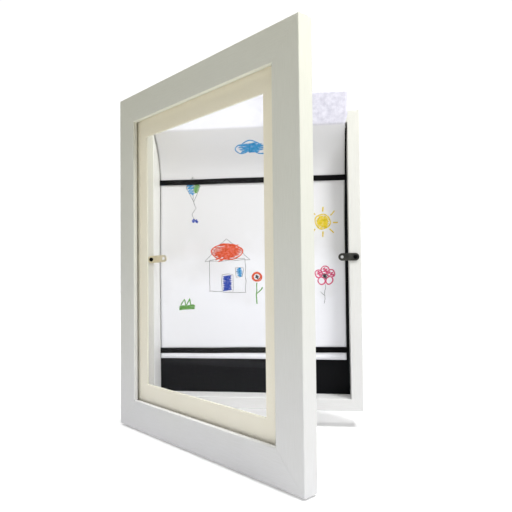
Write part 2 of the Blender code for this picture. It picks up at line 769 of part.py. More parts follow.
def door_bar(name):
    turn = door_bar_frame(name)
    length = door_bar_length(name)
    bar = on_door(add_object(name, mitred_bar(door_profile(), length, turn), white_wrap(name)))
    depth = Y_POINT - Y_DOOR_FRONT
    slots = bmesh.new()
    for place in point_places(name):
        shape = turn @ Matrix.Translation((place, DOOR_SOLID - POINT_BITE, depth))
        outline = [(-POINT_WIDTH / 2 - GAP, -GAP), (POINT_WIDTH / 2 + GAP, -GAP),
                   (POINT_WIDTH / 2 + GAP, POINT_BITE + OVERRUN), (-POINT_WIDTH / 2 - GAP, POINT_BITE + OVERRUN)]
        prism(slots, outline, -GAP, POINT_THICK + GAP, shape)
    if name == "door_stile_hinge":
        for level in hinge_levels():
            for place in hinge_screw_places(level):
                spot = facing((0, -1, 0), (PIVOT.x - LEAF_SCREW, Y_DOOR_BACK, place))
                rod(slots, HINGE_SCREW_SHANK + GAP, -OVERRUN, HINGE_SCREW_LENGTH, SMALL_SIDES, spot)
    if name == "door_stile_free":
        for level in magnet_levels():
            spot = facing((0, -1, 0), (LANDING_X, Y_DOOR_BACK, level))
            rod(slots, MAGNET_RADIUS + GAP, -OVERRUN, MAGNET_THICK + GAP, ROUND_SIDES, spot)
    cut(bar, add_cutter(name + "_cuts", slots))


def door_pane():
    bm = bmesh.new()
    x = DOOR_WIDTH / 2 - DOOR_SOLID - PANE_FIT
    z = DOOR_HEIGHT / 2 - DOOR_SOLID - PANE_FIT
    box(bm, (-x, Y_PANE, -z), (x, Y_PANE + PANE_THICK, z))
    bmesh.ops.translate(bm, vec=DOOR_MIDDLE, verts=bm.verts)
    on_door(add_object("door_pane", bm, clear_sheet("door_pane")))


def door_mat():
    # four edges of the card, with the window cut at 45 degrees so that its core shows from the front
    outer = (DOOR_WIDTH / 2 - DOOR_SOLID - PANE_FIT, DOOR_HEIGHT / 2 - DOOR_SOLID - PANE_FIT)
    back = (DOOR_WIDTH / 2 - DOOR_FACE - MAT_SHOW_SIDE, DOOR_HEIGHT / 2 - DOOR_FACE - MAT_SHOW_END)
    front = (back[0] + MAT_THICK, back[1] + MAT_THICK)
    rear = Y_MAT + MAT_THICK
    signs = ((-1, -1), (1, -1), (1, 1), (-1, 1))
    bm = bmesh.new()
    loops = []
    for (x, z), y in ((outer, Y_MAT), (front, Y_MAT), (back, rear), (outer, rear)):
        loops.append([bm.verts.new((sx * x, y, sz * z)) for sx, sz in signs])
    for one, two in zip(loops, loops[1:] + loops[:1]):
        for i in range(4):
            j = (i + 1) % 4
            bm.faces.new((one[i], one[j], two[j], two[i]))
    bmesh.ops.translate(bm, vec=DOOR_MIDDLE, verts=bm.verts)
    on_door(add_object("door_mat", bm, cream_card("door_mat")))


def mat_points():
    sides = (("hinge", "door_stile_hinge"), ("free", "door_stile_free"),
             ("top", "door_rail_top"), ("bottom", "door_rail_bottom"))
    depth = Y_POINT - Y_DOOR_FRONT
    for label, bar in sides:
        for letter, place in zip("ab", point_places(bar)):
            name = "mat_point_" + label + "_" + letter
            shape = door_bar_frame(bar) @ Matrix.Translation((place, DOOR_SOLID - POINT_BITE, depth))
            half = POINT_WIDTH / 2
            outline = [(-half, 0), (half, 0), (half / 2, POINT_LENGTH), (-half / 2, POINT_LENGTH)]
            bm = bmesh.new()
            prism(bm, outline, 0, POINT_THICK, shape)
            on_door(add_object(name, bm, bright_steel(name)))


def hang_door():
    pivot = bpy.data.objects.new("door_pivot", None)
    bpy.context.scene.collection.objects.link(pivot)
    pivot.location = PIVOT
    pivot.rotation_euler = (0, 0, -DOOR_OPEN_ANGLE)
    for thing in door_pieces:
        thing.parent = pivot
        thing.matrix_parent_inverse = Matrix.Translation(-PIVOT)


def build():
    clear_scene()
    for side in (-1, 1):
        tray_side(side)
        tray_rail(side)
    back_panel()
    art_sheet()
    for name, level in zip(("strap_upper", "strap_lower"), strap_levels()):
        strap(name, level)
    for side in (-1, 1):
        turn_button(side)
        button_screw(side)
    for which, level in zip(("upper", "lower"), hinge_levels()):
        hinge(which, level)
    magnets()
    bumpers()
    hanger("hanger_portrait", portrait_hanger_frame())
    hanger("hanger_landscape", landscape_hanger_frame())
    for name in ("door_stile_hinge", "door_stile_free", "door_rail_top", "door_rail_bottom"):
        door_bar(name)
    door_pane()
    door_mat()
    mat_points()
    hang_door()


build()
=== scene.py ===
import bpy
import bmesh
import json
from math import cos, pi, radians, sin, sqrt
from mathutils import Matrix, Vector, noise

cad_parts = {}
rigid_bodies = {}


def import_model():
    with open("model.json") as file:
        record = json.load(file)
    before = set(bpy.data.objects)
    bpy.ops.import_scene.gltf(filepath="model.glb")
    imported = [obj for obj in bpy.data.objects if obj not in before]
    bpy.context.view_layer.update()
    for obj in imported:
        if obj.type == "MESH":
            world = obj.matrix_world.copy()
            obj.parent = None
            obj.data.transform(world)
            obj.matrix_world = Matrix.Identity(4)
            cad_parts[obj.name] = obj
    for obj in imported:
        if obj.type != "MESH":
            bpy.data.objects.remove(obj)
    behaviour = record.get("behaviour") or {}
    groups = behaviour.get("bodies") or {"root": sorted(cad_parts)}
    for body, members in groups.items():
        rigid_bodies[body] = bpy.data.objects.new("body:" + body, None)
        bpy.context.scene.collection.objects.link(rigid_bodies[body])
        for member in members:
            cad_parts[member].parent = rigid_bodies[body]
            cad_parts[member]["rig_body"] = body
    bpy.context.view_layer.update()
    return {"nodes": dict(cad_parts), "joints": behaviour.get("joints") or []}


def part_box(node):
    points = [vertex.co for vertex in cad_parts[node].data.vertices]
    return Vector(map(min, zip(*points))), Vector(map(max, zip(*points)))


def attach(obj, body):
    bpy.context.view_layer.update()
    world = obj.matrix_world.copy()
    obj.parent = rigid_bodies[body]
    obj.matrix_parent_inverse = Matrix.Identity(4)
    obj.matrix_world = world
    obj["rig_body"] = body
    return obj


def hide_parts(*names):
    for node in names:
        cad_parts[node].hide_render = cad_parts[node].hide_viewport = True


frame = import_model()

mm = 0.001
mergeGap = 0.0001 * mm  # points nearer than this are one point
closeBy = 0.01 * mm  # a line this near to another lies on it
creaseAngle = radians(32)  # edges sharper than this keep their crease
print("frame loaded:", len(frame["nodes"]), "nodes")


# shared helpers for materials

def toLinear(hexColour):
    # an sRGB hex value such as "d8d8d2" as linear red, green, blue and alpha
    channels = [int(hexColour[i:i + 2], 16) / 255 for i in (0, 2, 4)]
    return tuple(c / 12.92 if c <= 0.04045 else ((c + 0.055) / 1.055) ** 2.4 for c in channels) + (1.0,)


def joinTo(tree, source, target):
    # source is a socket, or a node for the first of its outputs that is on
    if isinstance(source, bpy.types.Node):
        source = next(output for output in source.outputs if output.enabled)
    tree.links.new(source, target)


def addNode(tree, kind, settings=None, links=None):
    # settings are the node's own options, its sockets' values, or the stops of a colour ramp
    node = tree.nodes.new(kind)
    for key, value in (settings or {}).items():
        if key == "stops":
            elements = node.color_ramp.elements
            while len(elements) < len(value):
                elements.new(0.5)
            for element, (place, colour) in zip(elements, value):
                element.position = place
                element.color = toLinear(colour) if isinstance(colour, str) else colour
        elif isinstance(key, str) and hasattr(node, key):
            setattr(node, key, value)
        else:
            node.inputs[key].default_value = value
    for key, source in (links or {}).items():
        joinTo(tree, source, node.inputs[key])
    return node


mixFactor, mixFirst, mixSecond = 0, 6, 7  # the sockets of a Mix node for colours
darken = {"data_type": "RGBA", "blend_type": "MULTIPLY", mixFactor: 1.0}


def startMaterial(name, shaderSettings):
    material = bpy.data.materials.new(name)
    material.use_nodes = True
    shader = material.node_tree.nodes["Principled BSDF"]
    for key, value in shaderSettings.items():
        shader.inputs[key].default_value = value
    return material, material.node_tree, shader


def feedShader(tree, shader, sources, heights=(), strength=0.3, depth=0.05 * mm):
    # sources go to the shader's sockets, and (source, share) heights are added up to one bump
    total = None
    for source, share in heights:
        links = {0: source} if total is None else {0: source, 2: total}
        total = addNode(tree, "ShaderNodeMath", {"operation": "MULTIPLY_ADD", 1: share, 2: 0.0}, links)
    if total is not None:
        bump = addNode(tree, "ShaderNodeBump", {"Strength": strength, "Distance": depth}, {"Height": total})
        sources = dict(sources, Normal=bump)
    for key, source in sources.items():
        joinTo(tree, source, shader.inputs[key])


def wanderingFade(tree, height, cloud, waver, low, high):
    # 0 below low and 1 above high, along an edge that the cloud moves by up to waver
    moved = addNode(tree, "ShaderNodeMath", {"operation": "MULTIPLY_ADD", 1: waver}, {0: cloud, 2: height})
    return addNode(tree, "ShaderNodeMapRange", {"From Min": low, "From Max": high}, {"Value": moved})


# shared helpers for shapes

def boxMesh(low, high):
    bm = bmesh.new()
    shape = Matrix.Translation((low + high) / 2) @ Matrix.Diagonal((*(high - low), 1))
    bmesh.ops.create_cube(bm, size=1, matrix=shape)
    return bm


def roundEdges(bm, edges, size, segments):
    bmesh.ops.bevel(bm, geom=edges, offset=size, offset_type="OFFSET", segments=segments, profile=0.5,
                    affect="EDGES", material=-1)


def cutAcross(bm, place, normal, **options):
    return bmesh.ops.bisect_plane(bm, geom=bm.verts[:] + bm.edges[:] + bm.faces[:], plane_co=place,
                                  plane_no=normal, **options)


def pointsOf(geometry):
    return [part for part in geometry if isinstance(part, bmesh.types.BMVert)]


def edgesOf(geometry):
    return [part for part in geometry if isinstance(part, bmesh.types.BMEdge)]


def layUv(bm, place):
    # place takes a point and gives its (u, v) in metres
    layer = bm.loops.layers.uv.verify()
    for face in bm.faces:
        for corner in face.loops:
            corner[layer].uv = place(corner.vert.co)


def linkMesh(name, bm, materials=()):
    mesh = bpy.data.meshes.new(name)
    bm.to_mesh(mesh)
    bm.free()
    for material in materials:
        mesh.materials.append(material)
    made = bpy.data.objects.new(name, mesh)
    bpy.context.scene.collection.objects.link(made)
    return made


def finishPiece(name, bm, materials, body, nodes, evenShading=True):
    bmesh.ops.remove_doubles(bm, verts=bm.verts, dist=mergeGap)
    bmesh.ops.recalc_face_normals(bm, faces=bm.faces)
    piece = linkMesh(name, bm, materials)
    piece.data.shade_smooth()
    piece.data.set_sharp_from_angle(angle=creaseAngle)
    if evenShading:
        piece.modifiers.new("even shading", "WEIGHTED_NORMAL").keep_sharp = True
    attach(piece, body)
    if nodes:
        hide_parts(*nodes)
    return piece


# the closed pose: door pieces are measured and shaped there, then swung open

jointPlaces = {joint["name"]: Vector(joint["pos_m"]) for joint in frame["joints"]}
doorPivot = jointPlaces["door_hinge"]
doorOpen = radians(40)
doorSwing = (Matrix.Translation(doorPivot) @ Matrix.Rotation(-doorOpen, 4, "Z")
             @ Matrix.Translation(-doorPivot))


def closedBox(*nodes):
    back = doorSwing.inverted()
    points = [back @ v.co for node in nodes for v in frame["nodes"][node].data.vertices]
    low = Vector([min(p[i] for p in points) for i in range(3)])
    high = Vector([max(p[i] for p in points) for i in range(3)])
    return low, high


# materials

def wrappedMdf(name, lowHex, middleHex, highHex):
    # white PVC foil wrapped over MDF: satin, with a faint pressed grain along the bar, and painted shade that
    # makes it a little darker and yellower toward the frame's top
    material, tree, shader = startMaterial(name, {"IOR": 1.5})
    uv = addNode(tree, "ShaderNodeUVMap")
    place = addNode(tree, "ShaderNodeTexCoord").outputs["Object"]
    height = addNode(tree, "ShaderNodeSeparateXYZ", links={"Vector": place}).outputs["Z"]
    stretch = addNode(tree, "ShaderNodeMapping", {"Scale": (1 / (17 * mm), 1 / (0.55 * mm), 1)},
                      {"Vector": uv})
    grain = addNode(tree, "ShaderNodeTexNoise", {"Scale": 1.0, "Detail": 4.0, "Roughness": 0.6},
                    {"Vector": stretch})
    cloudy = addNode(tree, "ShaderNodeTexNoise", {"Scale": 1 / (70 * mm), "Detail": 3.0}, {"Vector": place})
    scuffs = addNode(tree, "ShaderNodeTexNoise", {"Scale": 1 / (4 * mm), "Detail": 6.0, "Roughness": 0.7},
                     {"Vector": place})
    # painted shade: the tint darkens and yellows toward the frame's top
    topShade = wanderingFade(tree, height, cloudy, 100 * mm, -130 * mm, 240 * mm)
    tint = addNode(tree, "ShaderNodeValToRGB", {"stops": [(0.0, lowHex), (0.5, middleHex), (1.0, highHex)]},
                   {"Fac": topShade})
    streak = addNode(tree, "ShaderNodeValToRGB", {"stops": [(0.35, "fafaf9"), (0.6, "ffffff")]},
                     {"Fac": grain})
    colour = addNode(tree, "ShaderNodeMix", darken, {mixFirst: tint, mixSecond: streak})
    shine = addNode(tree, "ShaderNodeMapRange", {"From Min": 0.35, "From Max": 0.7, "To Min": 0.36,
                                                 "To Max": 0.5}, {"Value": scuffs})
    feedShader(tree, shader, {"Base Color": colour, "Roughness": shine}, [(grain, 1.0), (scuffs, 0.5)],
               strength=0.25)
    return material


def creamMatCard(name):
    # paper-faced mat board, cream, with painted shade that deepens it toward the top: dull, with felt marks
    # about a millimetre across
    material, tree, shader = startMaterial(name, {"Roughness": 0.9, "Specular IOR Level": 0.25})
    place = addNode(tree, "ShaderNodeTexCoord").outputs["Object"]
    height = addNode(tree, "ShaderNodeSeparateXYZ", links={"Vector": place}).outputs["Z"]
    felt = addNode(tree, "ShaderNodeTexNoise", {"Scale": 1 / (1.1 * mm), "Detail": 5.0, "Roughness": 0.65},
                   {"Vector": place})
    blotch = addNode(tree, "ShaderNodeTexNoise", {"Scale": 1 / (40 * mm), "Detail": 3.0}, {"Vector": place})
    # painted shade: the cream deepens toward the top
    topShade = wanderingFade(tree, height, blotch, 120 * mm, -130 * mm, 240 * mm)
    tint = addNode(tree, "ShaderNodeValToRGB", {"stops": [(0.0, "faf6e8"), (1.0, "f9f1d6")]}, {"Fac": topShade})
    speck = addNode(tree, "ShaderNodeValToRGB", {"stops": [(0.3, "f9f9f8"), (0.65, "ffffff")]}, {"Fac": felt})
    colour = addNode(tree, "ShaderNodeMix", darken, {mixFirst: tint, mixSecond: speck})
    feedShader(tree, shader, {"Base Color": colour}, [(felt, 1.0)])
    return material


def pulpMatCore(name):
    # the pulp core that the window's slanted cut lays bare, a shade duller than the card's face
    material, tree, shader = startMaterial(name, {"Roughness": 0.95, "Specular IOR Level": 0.2})
    place = addNode(tree, "ShaderNodeTexCoord").outputs["Object"]
    pulp = addNode(tree, "ShaderNodeTexNoise", {"Scale": 1 / (0.65 * mm), "Detail": 4.0}, {"Vector": place})
    tint = addNode(tree, "ShaderNodeValToRGB", {"stops": [(0.35, "d8d4c2"), (0.65, "e0ddcd")]}, {"Fac": pulp})
    feedShader(tree, shader, {"Base Color": tint}, [(pulp, 1.0)], depth=0.04 * mm)
    return material


def castAcrylic(name):
    # clear cast acrylic with an anti-glare coating: nearly unseen, with a little dust haze in its gloss
    material, tree, shader = startMaterial(name, {
        "Base Color": toLinear("ffffff"), "IOR": 1.49, "Transmission Weight": 1.0, "Alpha": 0.012})
    place = addNode(tree, "ShaderNodeTexCoord").outputs["Object"]
    dust = addNode(tree, "ShaderNodeTexNoise", {"Scale": 1 / (30 * mm), "Detail": 6.0, "Roughness": 0.6},
                   {"Vector": place})
    haze = addNode(tree, "ShaderNodeMapRange", {"From Min": 0.5, "From Max": 0.8, "To Max": 0.05},
                   {"Value": dust})
    feedShader(tree, shader, {"Roughness": haze})
    return material


def blackHardboard(name):
    # hardboard painted black: a low sheen over a fine pressed grain, and a few specks of dust
    material, tree, shader = startMaterial(name, {"Roughness": 0.6, "Specular IOR Level": 0.12})
    place = addNode(tree, "ShaderNodeTexCoord").outputs["Object"]
    pressed = addNode(tree, "ShaderNodeTexNoise", {"Scale": 1 / (1.4 * mm), "Detail": 5.0, "Roughness": 0.6},
                      {"Vector": place})
    dust = addNode(tree, "ShaderNodeTexVoronoi", {"Scale": 1 / (8 * mm)}, {"Vector": place})
    base = addNode(tree, "ShaderNodeValToRGB", {"stops": [(0.3, "060709"), (0.7, "0b0c11")]},
                   {"Fac": pressed})
    speck = addNode(tree, "ShaderNodeValToRGB", {"stops": [(0.03, "ffffff"), (0.06, "000000")]},
                    {"Fac": dust.outputs["Distance"]})
    colour = addNode(tree, "ShaderNodeMix", {"data_type": "RGBA", mixSecond: toLinear("2c2c2e")},
                     {mixFactor: speck, mixFirst: base})
    feedShader(tree, shader, {"Base Color": colour}, [(pressed, 1.0)], strength=0.35, depth=0.06 * mm)
    return material


def wovenElastic(name):
    # black braided elastic: ribs along the band 0.8 mm apart and picks across it 0.5 mm apart
    material, tree, shader = startMaterial(name, {"Roughness": 0.85, "Specular IOR Level": 0.12,
                                                  "Sheen Weight": 0.04, "Sheen Roughness": 0.5})
    uv = addNode(tree, "ShaderNodeUVMap")
    repeat = 2 * pi / 20  # the length of one wave before its scale
    ribs = addNode(tree, "ShaderNodeTexWave", {"bands_direction": "Y", "Scale": repeat / (0.8 * mm),
                                               "Distortion": 0.6}, {"Vector": uv})
    picks = addNode(tree, "ShaderNodeTexWave", {"bands_direction": "X", "Scale": repeat / (0.5 * mm),
                                                "Distortion": 1.5}, {"Vector": uv})
    fuzz = addNode(tree, "ShaderNodeTexNoise", {"Scale": 1 / (0.4 * mm), "Detail": 3.0}, {"Vector": uv})
    ribbed = ribs.outputs["Fac"]
    tint = addNode(tree, "ShaderNodeValToRGB", {"stops": [(0.2, "030304"), (0.8, "09090b")]}, {"Fac": ribbed})
    heights = [(ribbed, 1.0), (picks.outputs["Fac"], 0.6), (fuzz, 0.3)]
    feedShader(tree, shader, {"Base Color": tint}, heights, strength=0.6, depth=0.12 * mm)
    return material


def sketchPaper(name):
    # copier paper: matt, with fibres under a millimetre long; bluish white, with painted shade that makes it
    # a little duller up to the fold, and painted shade mottled about 5 mm across past the fold, for the shade
    # of its crumples there, most at the right
    material, tree, shader = startMaterial(name, {"Roughness": 0.88, "Specular IOR Level": 0.3})
    uv = addNode(tree, "ShaderNodeUVMap")
    apart = addNode(tree, "ShaderNodeSeparateXYZ", links={"Vector": uv})
    across, height = apart.outputs["X"], apart.outputs["Y"]
    fibres = addNode(tree, "ShaderNodeTexNoise", {"Scale": 1 / (0.7 * mm), "Detail": 6.0, "Roughness": 0.7},
                     {"Vector": uv})
    cloudy = addNode(tree, "ShaderNodeTexNoise", {"Scale": 1 / (45 * mm), "Detail": 3.0}, {"Vector": uv})
    # painted shade: the sheet dulls up to the fold, along a wandering edge
    tone = wanderingFade(tree, height, cloudy, 120 * mm, 130 * mm, 190 * mm)
    pastFold = addNode(tree, "ShaderNodeMapRange", {"From Min": 261.5 * mm, "From Max": 264.5 * mm},
                      {"Value": height})
    # past the fold this painted shade stops
    shadeUpToFold = addNode(tree, "ShaderNodeMath", {"operation": "SUBTRACT", "use_clamp": True},
                     {0: tone, 1: pastFold})
    tint = addNode(tree, "ShaderNodeValToRGB", {"stops": [(0.0, "f6f7fd"), (1.0, "e6e6e8")]}, {"Fac": shadeUpToFold})
    speck = addNode(tree, "ShaderNodeValToRGB", {"stops": [(0.3, "fbfbfb"), (0.6, "ffffff")]},
                    {"Fac": fibres})
    colour = addNode(tree, "ShaderNodeMix", darken, {mixFirst: tint, mixSecond: speck})
    # painted shade mottled about 5 mm across past the fold, for the shade of the crumpled paper there
    mottleNoise = addNode(tree, "ShaderNodeTexNoise", {"Scale": 1 / (6.5 * mm), "Detail": 5.0, "Roughness": 0.6},
                      {"Vector": uv})
    mottledShade = addNode(tree, "ShaderNodeValToRGB", {"stops": [(0.36, "cdcbd3"), (0.62, "e5e3e8")]},
                    {"Fac": mottleNoise})
    # the painted shade grows toward the right edge, where the sheet lies in shade
    reach = addNode(tree, "ShaderNodeMapRange", {"From Min": 100 * mm, "From Max": 170 * mm, "To Min": 0.15},
                    {"Value": across})
    patchiness = addNode(tree, "ShaderNodeMath", {"operation": "MULTIPLY"}, {0: pastFold, 1: reach})
    mottledTone = addNode(tree, "ShaderNodeMix", darken, {mixFactor: patchiness, mixFirst: colour, mixSecond: mottledShade})
    heights = [(fibres, 0.4), (cloudy, 1.0), (mottleNoise, 0.5)]
    feedShader(tree, shader, {"Base Color": mottledTone}, heights, depth=0.12 * mm)
    return material


def waxCrayon(name, hexColour, skip):
    # wax crayon or pencil on paper: the paper's tooth, about 0.4 mm, shows through as pale flecks, and the
    # hand's pressure changes every 2 or 3 mm
    material, tree, shader = startMaterial(name, {"Roughness": 0.6, "Specular IOR Level": 0.35})
    uv = addNode(tree, "ShaderNodeUVMap")
    tooth = addNode(tree, "ShaderNodeTexNoise", {"Scale": 1 / (0.45 * mm), "Detail": 4.0, "Roughness": 0.7},
                    {"Vector": uv})
    press = addNode(tree, "ShaderNodeTexNoise", {"Scale": 1 / (2.6 * mm), "Detail": 3.0}, {"Vector": uv})
    full = toLinear(hexColour)
    fleck, heavy, thin = [tuple(c * keep + white for c in full[:3]) + (1.0,)
                          for keep, white in ((0.7, 0.24), (0.75, 0.0), (0.8, 0.14))]
    wax = addNode(tree, "ShaderNodeValToRGB", {"stops": [(0.35, heavy), (0.5, full), (0.66, thin)]},
                  {"Fac": press})
    bare = addNode(tree, "ShaderNodeValToRGB",
                   {"stops": [(0.62 - skip / 2, "000000"), (0.8 - skip / 2, "ffffff")]}, {"Fac": tooth})
    colour = addNode(tree, "ShaderNodeMix", {"data_type": "RGBA", mixSecond: fleck},
                     {mixFactor: bare, mixFirst: wax})
    feedShader(tree, shader, {"Base Color": colour}, [(tooth, 1.0)])
    return material


def platedSteel(name, darkHex, lightHex, roughness, brushAxis):
    # stamped and plated steel: drawn lines about 0.3 mm apart along one axis, with light smudges
    material, tree, shader = startMaterial(name, {"Metallic": 1.0})
    place = addNode(tree, "ShaderNodeTexCoord").outputs["Object"]
    scale = [1 / (0.33 * mm)] * 3
    scale["XYZ".index(brushAxis)] = 1 / (8 * mm)
    stretch = addNode(tree, "ShaderNodeMapping", {"Scale": scale}, {"Vector": place})
    lines = addNode(tree, "ShaderNodeTexNoise", {"Scale": 1.0, "Detail": 3.0}, {"Vector": stretch})
    smudge = addNode(tree, "ShaderNodeTexNoise", {"Scale": 1 / (5.5 * mm), "Detail": 4.0}, {"Vector": place})
    tint = addNode(tree, "ShaderNodeValToRGB", {"stops": [(0.3, darkHex), (0.7, lightHex)]}, {"Fac": smudge})
    shine = addNode(tree, "ShaderNodeMapRange", {"From Min": 0.3, "From Max": 0.7, "To Min": roughness - 0.08,
                                                 "To Max": roughness + 0.12}, {"Value": smudge})
    feedShader(tree, shader, {"Base Color": tint, "Roughness": shine}, [(lines, 1.0)], depth=0.02 * mm)
    return material


def blackenedSteel(name):
    # a black-oxide screw: dark satin, with paler metal where the plating is thin
    material, tree, shader = startMaterial(name, {"Metallic": 1.0, "Roughness": 0.45})
    place = addNode(tree, "ShaderNodeTexCoord").outputs["Object"]
    mottledTone = addNode(tree, "ShaderNodeTexNoise", {"Scale": 1 / (1.1 * mm), "Detail": 4.0}, {"Vector": place})
    tint = addNode(tree, "ShaderNodeValToRGB", {"stops": [(0.45, "0d0d0e"), (0.8, "2b2b2c")]}, {"Fac": mottledTone})
    feedShader(tree, shader, {"Base Color": tint}, [(mottledTone, 1.0)], strength=0.2, depth=0.02 * mm)
    return material


def clearRubber(name):
    # soft translucent bumper rubber: a milky dome with a little grip texture
    material, tree, shader = startMaterial(name, {"Roughness": 0.5, "Subsurface Weight": 0.3,
                                                  "Subsurface Radius": (2 * mm, 2 * mm, 2 * mm),
                                                  "Subsurface Scale": 1.0})
    place = addNode(tree, "ShaderNodeTexCoord").outputs["Object"]
    patchiness = addNode(tree, "ShaderNodeTexNoise", {"Scale": 1 / (0.8 * mm), "Detail": 3.0}, {"Vector": place})
    tint = addNode(tree, "ShaderNodeValToRGB", {"stops": [(0.3, "c4c6c6"), (0.7, "d4d6d6")]}, {"Fac": patchiness})
    feedShader(tree, shader, {"Base Color": tint}, [(patchiness, 1.0)], strength=0.2, depth=0.03 * mm)
    return material


# the door and the tray wear the same white foil: the tray's copy is painted lighter and the door's darker,
# for the light that falls on the tray and the shade on the door's face
doorFoil = wrappedMdf("white foil-wrapped MDF, door", "dedee0", "dedfd6", "dadacb")
trayFoil = wrappedMdf("white foil-wrapped MDF, tray", "e2e2e3", "e1e1dd", "dfdfd6")
matFace = creamMatCard("cream mat board")
matCore = pulpMatCore("mat board pulp core")
acrylic = castAcrylic("clear cast acrylic")
hardboard = blackHardboard("black hardboard")
elastic = wovenElastic("black braided elastic")
paper = sketchPaper("white copier paper")
gunmetal = platedSteel("gunmetal plated steel", "4a4a47", "5c5c58", 0.38, "X")
# the left button's beige base colour is a painted reflection of the cream surroundings
reflectedBeige = platedSteel("champagne plated steel", "dad3bb", "e9e3d0", 0.36, "X")
zinc = platedSteel("zinc plated steel", "b4b6b8", "cccdd0", 0.32, "Z")
blackened = blackenedSteel("black oxide steel")
rubber = clearRubber("milky bumper rubber")
print("materials ready")


# wrapped bars with a rebate at the back, mitred at both ends; the door's moulding and the tray's boards

doorMoulding = {"shoulder": 4.3 * mm, "rebate": 6 * mm, "radius": 0.8 * mm, "steps": 4, "mitre": 0.08 * mm,
                "joint": 0.03 * mm}
trayBoard = {"shoulder": 24 * mm, "rebate": 5 * mm, "radius": 0.5 * mm, "steps": 3, "mitre": 0.08 * mm,
             "joint": 0.03 * mm}


def mitredBar(length, face, deep, settings):
    # x along the bar, y in from its outer edge, z behind its face
    solid, shoulder = face - settings["rebate"], settings["shoulder"]
    profile = [(0, 0), (face, 0), (face, shoulder), (solid, shoulder), (solid, deep), (0, deep)]
    corners = [Vector(corner) for corner in ((0, 0), (face, 0), (0, deep))]
    bm = bmesh.new()
    section = bm.faces.new([bm.verts.new((-length / 2, a, n)) for a, n in profile])
    drawn = bmesh.ops.extrude_face_region(bm, geom=[section])
    bmesh.ops.translate(bm, vec=(length, 0, 0), verts=pointsOf(drawn["geom"]))
    reach = length / 2 - settings["joint"]
    for side in (-1, 1):
        cut = cutAcross(bm, (side * reach, 0, 0), Vector((side, 1, 0)).normalized(), dist=mergeGap,
                        clear_outer=True)
        bmesh.ops.edgeloop_fill(bm, edges=edgesOf(cut["geom_cut"]))
    bmesh.ops.recalc_face_normals(bm, faces=bm.faces)
    arrises = []
    for edge in bm.edges:
        one, two = (v.co for v in edge.verts)
        middle = (one.yz + two.yz) / 2
        if abs(one.x - two.x) > length / 2 and any((middle - corner).length < closeBy for corner in corners):
            arrises.append(edge)
    roundEdges(bm, arrises, settings["radius"], settings["steps"])
    ends = [edge for edge in bm.edges
            if all(abs(abs(v.co.x) - (reach - v.co.y)) < closeBy for v in edge.verts)]
    roundEdges(bm, ends, settings["mitre"], segments=1)
    layUv(bm, lambda p: (p.x, p.y + p.z))
    return bm


def mitredFrame(label, low, high, face, settings, foil, body, swing, bars):
    # bars names the left, right, top and bottom bar and the nodes that each stands for
    middle = (low + high) / 2
    width, deep, height = high - low
    runs = [
        (height, (0, 0, 1), (1, 0, 0), (low.x, low.y, middle.z)),
        (height, (0, 0, -1), (-1, 0, 0), (high.x, low.y, middle.z)),
        (width, (1, 0, 0), (0, 0, -1), (middle.x, low.y, high.z)),
        (width, (-1, 0, 0), (0, 0, 1), (middle.x, low.y, low.z)),
    ]
    for (which, nodes), (length, along, inward, corner) in zip(bars.items(), runs):
        bm = mitredBar(length, face, deep, settings)
        turn = Matrix.Translation(corner) @ Matrix((along, inward, (0, 1, 0))).transposed().to_4x4()
        bmesh.ops.transform(bm, matrix=swing @ turn, verts=bm.verts)
        finishPiece(label + which, bm, [foil], body, nodes)


def doorBars():
    bars = {"hinge": ["door_stile_hinge"], "free": ["door_stile_free"], "top": ["door_rail_top"],
            "bottom": ["door_rail_bottom"]}
    low, high = closedBox(*(node for nodes in bars.values() for node in nodes))
    railLow, railHigh = closedBox("door_rail_top")
    mitredFrame("door_moulding_", low, high, railHigh.z - railLow.z, doorMoulding, doorFoil, "door",
                doorSwing, bars)


def trayBoards():
    bars = {"left": ["tray_side_left"],
            "right": ["tray_side_right", "closing_magnet_tray_upper", "closing_magnet_tray_lower"],
            "top": ["tray_rail_top"], "bottom": ["tray_rail_bottom"]}
    low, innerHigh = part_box("tray_side_left")
    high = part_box("tray_side_right")[1]
    mitredFrame("tray_board_", low, high, innerHigh.x - low.x, trayBoard, trayFoil, "tray",
                Matrix.Identity(4), bars)


doorBars()
print("door moulding ready")
trayBoards()
print("tray boards ready")

panelSettings = {"edge": 0.3 * mm}


def backPanel():
    bm = boxMesh(*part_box("back_panel"))
    roundEdges(bm, bm.edges[:], panelSettings["edge"], segments=2)
    finishPiece("hardboard_back", bm, [hardboard], "tray", ["back_panel"])


backPanel()


# the drawing sheet: under both straps, forward over the top rail's front edge, and up past the rail; it is
# paper, shaped directly along its path

sheetSettings = {
    "thick": 0.2 * mm, "clear": 0.45 * mm, "showsAbove": 2 * mm, "leftSlack": 0.35 * mm,
    "leanPull": 0.55, "foldPull": 0.35, "foldRadius": 1.2 * mm,
    "flatSteps": 60, "leanSteps": 24, "foldSteps": 6, "topSteps": 14, "acrossSteps": 84,
    "bulge": 2.2 * mm, "bulgeSway": 60 * mm,  # between the straps
    "lip": 1.8 * mm, "lipReach": 9 * mm,  # along the bottom edge
    "wave": 0.5 * mm, "waveSway": 25 * mm, "waveFrom": (8 * mm, 20 * mm), "waveTo": (34 * mm, 46 * mm),
    "crumple": 0.5 * mm, "crumplesPerMetre": 70, "crumpledOver": (263 * mm, 275 * mm),
    "slid": 0.8 * mm, "tilted": 1.4 * mm, "tiltedOver": (140 * mm, 235 * mm),  # the right edge isn't straight
    "fanned": 2.6 * mm, "fannedOver": (262 * mm, 274 * mm),
}


def bezier(points, t):
    while len(points) > 1:
        points = [a.lerp(b, t) for a, b in zip(points, points[1:])]
    return points[0]


